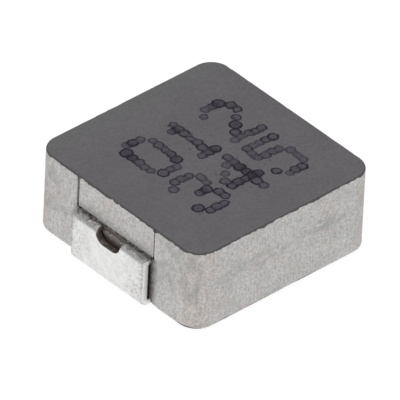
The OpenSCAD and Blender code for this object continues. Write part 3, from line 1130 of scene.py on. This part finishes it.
class Drops:
    """All the drops of a print, found quickly by place."""

    WOBBLE = 0.052
    WAVES = ((5.0, 0.0, 1.0), (11.0, 4.0, 0.35))  # grains per millimetre, level and share of each noise
    APART = Vector((31.7, 17.3, 5.9))  # from the noise for X to the noise for Y
    MARGIN = 0.06  # how far past the largest drop the search looks
    RING = (0.042, 0.040)  # depth inside a drop's rim, and width, of the ring that it keeps
    RIM = (0.036, 0.052)  # the same of the thick rim of the whole film
    FLOOD_REACH = 0.2

    def __init__(self, drops: list[Drop]) -> None:
        """Sorts the drops into a search tree."""
        self.drops = drops
        self.reach = max(drop.radius for drop in drops) + self.MARGIN
        self.tree = kdtree.KDTree(len(drops))
        for number, drop in enumerate(drops):
            self.tree.insert((*drop.middle, 0.0), number)
        self.tree.balance()

    def _wobbled(self, point: Vector) -> Vector:
        """Shifts a point a little, so that round drops get uneven rims."""
        shift = Vector((0.0, 0.0))
        for per_mm, level, share in self.WAVES:
            spot = Vector((*(point * per_mm), level))
            shift += Vector((noise.noise(spot), noise.noise(spot + self.APART))) * share
        return point + shift * self.WOBBLE

    def _near(self, point: Vector) -> list[tuple[Drop, float]]:
        """Drops that may cover a point, each with its middle's distance."""
        found = self.tree.find_range((*point, 0.0), self.reach)
        return [(self.drops[number], away) for _, number, away in found]

    def inside(self, point: Vector) -> float:
        """How far inside a drop a point lies; less than 0 outside all of them."""
        return max((drop.radius - away for drop, away in self._near(self._wobbled(point))), default=-1.0)

    def to_rim(self, point: Vector) -> Vector:
        """Moves a point to the rim of the drop whose rim is nearest."""
        seen = self._wobbled(point)
        drop, _ = max(self._near(seen), key=lambda pair: pair[0].radius - pair[1])
        return point + drop.middle + (seen - drop.middle).normalized() * drop.radius - seen

    @staticmethod
    def _hill(depth: float, shape: tuple[float, float]) -> float:
        """Smooth hill of height 1 at a depth, with a width."""
        return math.exp(-(((depth - shape[0]) / shape[1]) ** 2))

    def density(self, point: Vector) -> float:
        """Thickness of the dried ink at a point.

        Args:
            point: The point on the face, in millimetres.

        Returns:
            0 for bare, about 1 for thick.
        """
        bare, ring, depth, wet, flood = 1.0, 0.0, 0.0, 0.0, 0.0
        for drop, away in self._near(self._wobbled(point)):
            flood += max(0.0, drop.wet - 1.0) * self._hill(away, (0.0, self.FLOOD_REACH))
            if away < drop.radius * 1.02:
                damp = min(1.0, drop.wet)
                bare *= 1.0 - 0.16 - 0.24 * damp * drop.ring
                ring += drop.ring * (0.3 + 0.7 * damp) * self._hill(drop.radius - away, self.RING)
                depth, wet = max(depth, drop.radius - away), max(wet, drop.wet)
        rim = self._hill(depth, self.RIM) * (0.45 + 0.55 * min(1.0, wet))
        return (1.0 - bare) * 0.44 + min(1.0, ring) * 0.35 + rim * 0.67 + min(0.5, flood) * 0.75


@dataclass
class InkPrint:
    """Two rows of plain digits, printed as ink drops that run together."""

    node: str = "marking"
    rows: tuple[str, str] = ("012", "345")
    drop_d: float = 0.48
    bridge: float = 0.84
    pitch: tuple[float, float] = (0.36, 0.39)
    digit_pitch: float = 2.1
    row_pitch: float = 3.1
    shift: tuple[float, float] = (0.3, -0.22)
    turn: float = -2.5
    cell: float = 0.025
    film: float = 0.015
    floods: float = 0.05
    most_wet: float = 1.6
    bridge_ring: float = 0.15
    specks: int = 5
    speck_area: tuple[float, float] = (0.95, 1.3)
    speck_r: tuple[float, float] = (0.02, 0.042)
    sink: float = 0.002
    seed: int = 5

    PATTERNS = {
        "0": ("01110", "10001", "10001", "10001", "10001", "10001", "01110"),
        "1": ("00100", "01100", "00100", "00100", "00100", "00100", "01110"),
        "2": ("01110", "10001", "00001", "00010", "00100", "01000", "11111"),
        "3": ("01110", "10001", "00001", "00110", "00001", "10001", "01110"),
        "4": ("00010", "00110", "01010", "10010", "11111", "00010", "00010"),
        "5": ("11111", "10000", "11110", "00001", "00001", "10001", "01110"),
    }

    def build(self, finish: DriedInk) -> bpy.types.Object:
        """Builds the print and dresses it.

        Args:
            finish: The ink.

        Returns:
            The print, standing for its CAD node.
        """
        drops = Drops(self._placed())
        bm = self._film(Span.of(self.node), drops)
        piece = hand_over("ink_digits", bm, [finish.material()], 60.0)
        layer = piece.data.attributes.new(finish.attribute, "FLOAT", "POINT")
        layer.data.foreach_set("value", [drops.density(v.co.xy / MM) for v in piece.data.vertices])
        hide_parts(self.node)
        return piece

    def _placed(self) -> list[Drop]:
        """Places the drops: one on each lit spot, one between neighbours, and a few stray specks."""
        draw = random.Random(self.seed)
        turned = Matrix.Rotation(math.radians(self.turn), 2)
        drops = []
        for line, text in enumerate(self.rows):
            for place, digit in enumerate(text):
                column, row = place - (len(text) - 1) / 2, 0.5 - line
                middle = Vector((column * self.digit_pitch, row * self.row_pitch))
                for column, row in self._spots(digit):
                    spot = Vector(((column - 2) * self.pitch[0], (3 - row) * self.pitch[1])) + middle
                    wet = 0.55 + 1.3 * noise.noise(Vector((*(spot * 0.8), 3.0))) + draw.gauss(0, 0.2)
                    if draw.random() < self.floods:
                        wet += 1.0
                    spot += Vector((draw.gauss(0, 0.024), draw.gauss(0, 0.026)))
                    wet = max(0.05, wet)
                    wet = min(self.most_wet, wet)
                    radius = self.drop_d / 2 * draw.uniform(0.86, 1.06) * (0.92 + 0.18 * wet)
                    size, ring = (self.bridge, self.bridge_ring) if column % 1 or row % 1 else (1.0, 1.0)
                    drops.append(Drop(turned @ spot + Vector(self.shift), radius * size, wet, ring))
                for _ in range(self.specks):
                    spot = middle + Vector(draw.uniform(-reach, reach) for reach in self.speck_area)
                    drops.append(Drop(turned @ spot + Vector(self.shift), draw.uniform(*self.speck_r), 0.7))
        return drops

    def _spots(self, digit: str) -> list[tuple[float, float]]:
        """Columns and rows of a digit's drops.

        Args:
            digit: The digit.

        Returns:
            Column and row of each drop; a half lies between two lit neighbours in a row or column.
        """
        lit = [(column, row) for row, pattern in enumerate(self.PATTERNS[digit])
               for column, mark in enumerate(pattern) if mark == "1"]
        between = [(column + across / 2, row + down / 2) for column, row in lit
                   for across, down in ((1, 0), (0, 1)) if (column + across, row + down) in lit]
        return [(float(column), float(row)) for column, row in lit] + between

    def _film(self, span: Span, drops: Drops) -> bmesh.types.BMesh:
        """Makes the film of ink under all the drops, closed on every side.

        Args:
            span: The box of the print.
            drops: The drops.

        Returns:
            The film.
        """
        room = 0.1
        size = span.size + Vector((room, room, 0.0)) * 2
        bm = bmesh.new()
        counts = [math.ceil(size[axis] / self.cell) for axis in (0, 1)]
        bmesh.ops.create_grid(bm, x_segments=counts[0], y_segments=counts[1], size=0.5)
        bmesh.ops.scale(bm, vec=(size.x, size.y, 1.0), verts=bm.verts)
        bmesh.ops.translate(bm, vec=(span.middle.x, span.middle.y, span.low.z), verts=bm.verts)
        dry = [f for f in bm.faces if drops.inside(f.calc_center_median().xy) <= 0.0]
        bmesh.ops.delete(bm, geom=dry, context="FACES")
        rim = [v for v in bm.verts if v.is_boundary]
        for vertex in rim:
            vertex.co.xy = drops.to_rim(vertex.co.xy)
        self._even_out(rim)
        bmesh.ops.solidify(bm, geom=bm.faces[:], thickness=self.film)
        bmesh.ops.recalc_face_normals(bm, faces=bm.faces)
        middle = sum(v.co.z for v in bm.verts) / len(bm.verts)
        for vertex in bm.verts:
            if vertex.co.z > middle:
                wet = min(1.0, drops.density(vertex.co.xy))
                edge = min(1.0, max(0.0, drops.inside(vertex.co.xy)) / 0.03)
                vertex.co.z = span.low.z + self.film * (0.25 + 0.75 * wet) * (0.35 + 0.65 * edge)
            else:
                vertex.co.z = span.low.z - self.sink
        return bm

    @staticmethod
    def _even_out(rim: list[bmesh.types.BMVert]) -> None:
        """Takes the corners off an outline, given by its vertices."""
        for _ in range(2):
            moved = []
            for vertex in rim:
                beside = [e.other_vert(vertex).co for e in vertex.link_edges if e.is_boundary]
                moved.append(vertex.co.lerp(sum(beside, Vector()) / len(beside), 0.5))
            for vertex, place in zip(rim, moved):
                vertex.co = place


@dataclass
class Winding:
    """The flat-wire coil inside the block, shown as packed."""

    node: str = "coil"

    def dress(self, finish: bpy.types.Material) -> bpy.types.Object:
        """Gives the coil its finish and returns it."""
        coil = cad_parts[self.node]
        coil.data.materials.clear()
        coil.data.materials.append(finish)
        LOG.info("%s: enamelled wire", self.node)
        return coil


# --------------------------------------------------------------------------------------
# Studio
# --------------------------------------------------------------------------------------

@dataclass
class Studio:
    """Pale floor, soft light and the camera."""

    floor_r: float = 2.0
    floor_tone: Colour = (0.13, 0.13, 0.13)
    floor_glow: float = 0.91
    sky: float = 0.34
    azimuth: float = -43.728
    elevation: float = 37.122
    roll: float = 2.859
    distance: float = 0.663717
    lens: float = 1440.0
    aim_off: tuple[float, float] = (0.168e-3, 0.226e-3)

    # Name, place and side length in metres, and power in watts of each soft box
    LAMPS = (
        ("overhead", (0.05, 0.05, 0.7), 0.62, 3.4),
        ("left", (-0.75, -0.15, 0.42), 0.45, 1.6),
        ("front", (-0.05, -0.80, 0.40), 0.45, 1.0),
    )

    def build(self) -> None:
        """Sets the whole studio."""
        self._floor()
        self._sky()
        for lamp in self.LAMPS:
            self._lamp(*lamp)
        self._camera()
        bpy.context.scene.view_settings.view_transform = "Standard"

    def _floor(self) -> None:
        """Lays the floor: a round pale sheet that glows faintly and can be seen through from below."""
        bm = bmesh.new()
        bmesh.ops.create_circle(bm, cap_ends=True, segments=96, radius=self.floor_r)
        bmesh.ops.inset_region(bm, faces=bm.faces[:], thickness=self.floor_r * 0.5, depth=0.0)
        mesh = bpy.data.meshes.new("floor")
        bm.to_mesh(mesh)
        bm.free()
        floor = bpy.data.objects.new("floor", mesh)
        bpy.context.scene.collection.objects.link(floor)
        material, g = new_material("pale_floor")
        pale = g.node("ShaderNodeBsdfPrincipled", None, {
            "Base Color": (*self.floor_tone, 1.0), "Roughness": 0.9, "Specular IOR Level": 0.0,
            "Emission Color": (1.0, 1.0, 1.0, 1.0), "Emission Strength": self.floor_glow,
        })
        clear = g.node("ShaderNodeBsdfTransparent")
        seen_from_below = g.node("ShaderNodeNewGeometry").outputs["Backfacing"]
        both = g.node("ShaderNodeMixShader", None, {
            0: Signal(g, seen_from_below), 1: Signal(g, pale.outputs[0]), 2: Signal(g, clear.outputs[0]),
        })
        g.node("ShaderNodeOutputMaterial", None, {"Surface": Signal(g, both.outputs[0])})
        mesh.materials.append(material)

    def _sky(self) -> None:
        """Fills the room with even light."""
        world = bpy.data.worlds.new("room")
        world.use_nodes = True
        g = Graph(world.node_tree)
        light = g.node("ShaderNodeBackground", None, {"Color": (1.0, 1.0, 1.0, 1.0), "Strength": self.sky})
        g.node("ShaderNodeOutputWorld", None, {"Surface": Signal(g, light.outputs[0])})
        bpy.context.scene.world = world

    @staticmethod
    def _lamp(name: str, place: tuple[float, float, float], size: float, power: float) -> None:
        """Hangs one soft box that faces the part.

        Args:
            name: The lamp's name.
            place: Where it hangs, in metres.
            size: Length of its sides, in metres.
            power: Its power, in watts.
        """
        lamp = bpy.data.lights.new(name, "AREA")
        lamp.shape, lamp.size, lamp.energy = "SQUARE", size, power
        made = bpy.data.objects.new(name, lamp)
        towards = -Vector(place)
        made.matrix_world = Matrix.Translation(place) @ towards.to_track_quat("-Z", "Y").to_matrix().to_4x4()
        bpy.context.scene.collection.objects.link(made)

    def _camera(self) -> None:
        """Sets the camera."""
        low, high = Span.of("moulded_body").low, Span.of("moulded_body").high
        aim = Vector((0.0, 0.0, (low.z + high.z) / 2 * MM))
        az, el, roll = (math.radians(v) for v in (self.azimuth, self.elevation, self.roll))
        back = Vector((math.sin(az) * math.cos(el), -math.cos(az) * math.cos(el), math.sin(el)))
        right = Vector((0.0, 0.0, 1.0)).cross(back).normalized()
        up = back.cross(right)
        cos, sin = math.cos(roll), math.sin(roll)
        right, up = cos * right + sin * up, cos * up - sin * right
        place = aim + back * self.distance - right * self.aim_off[0] - up * self.aim_off[1]
        data = bpy.data.cameras.new("camera")
        data.lens, data.sensor_width, data.clip_start, data.clip_end = self.lens, 36.0, 0.01, 3.0
        camera = bpy.data.objects.new("camera", data)
        camera.matrix_world = Matrix.Translation(place) @ Matrix((right, up, back)).transposed().to_4x4()
        bpy.context.scene.collection.objects.link(camera)
        bpy.context.scene.camera = camera


def main() -> None:
    """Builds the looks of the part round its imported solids."""
    logging.basicConfig(level=logging.INFO, format="%(name)s: %(message)s (%(relativeCreated)d ms)")
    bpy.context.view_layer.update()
    block, strip = Span.of("moulded_body"), Span.of(End.RIGHT.node)
    lead = LeadStrip(End.RIGHT)
    tin = TinPlate(strip, block, lead.thickness).material()
    punched = BareCopper().material()
    soot = Soot().material()

    PressedBlock().build(PressedPowder(block, strip, lead.window_w).material())
    for end in End:
        LeadStrip(end).build(tin, punched)
        PowderFlash(end).build(soot)
    InkPrint().build(DriedInk())
    Winding().dress(EnamelledCopper().material())
    Studio().build()


if __name__ == "__main__":
    main()
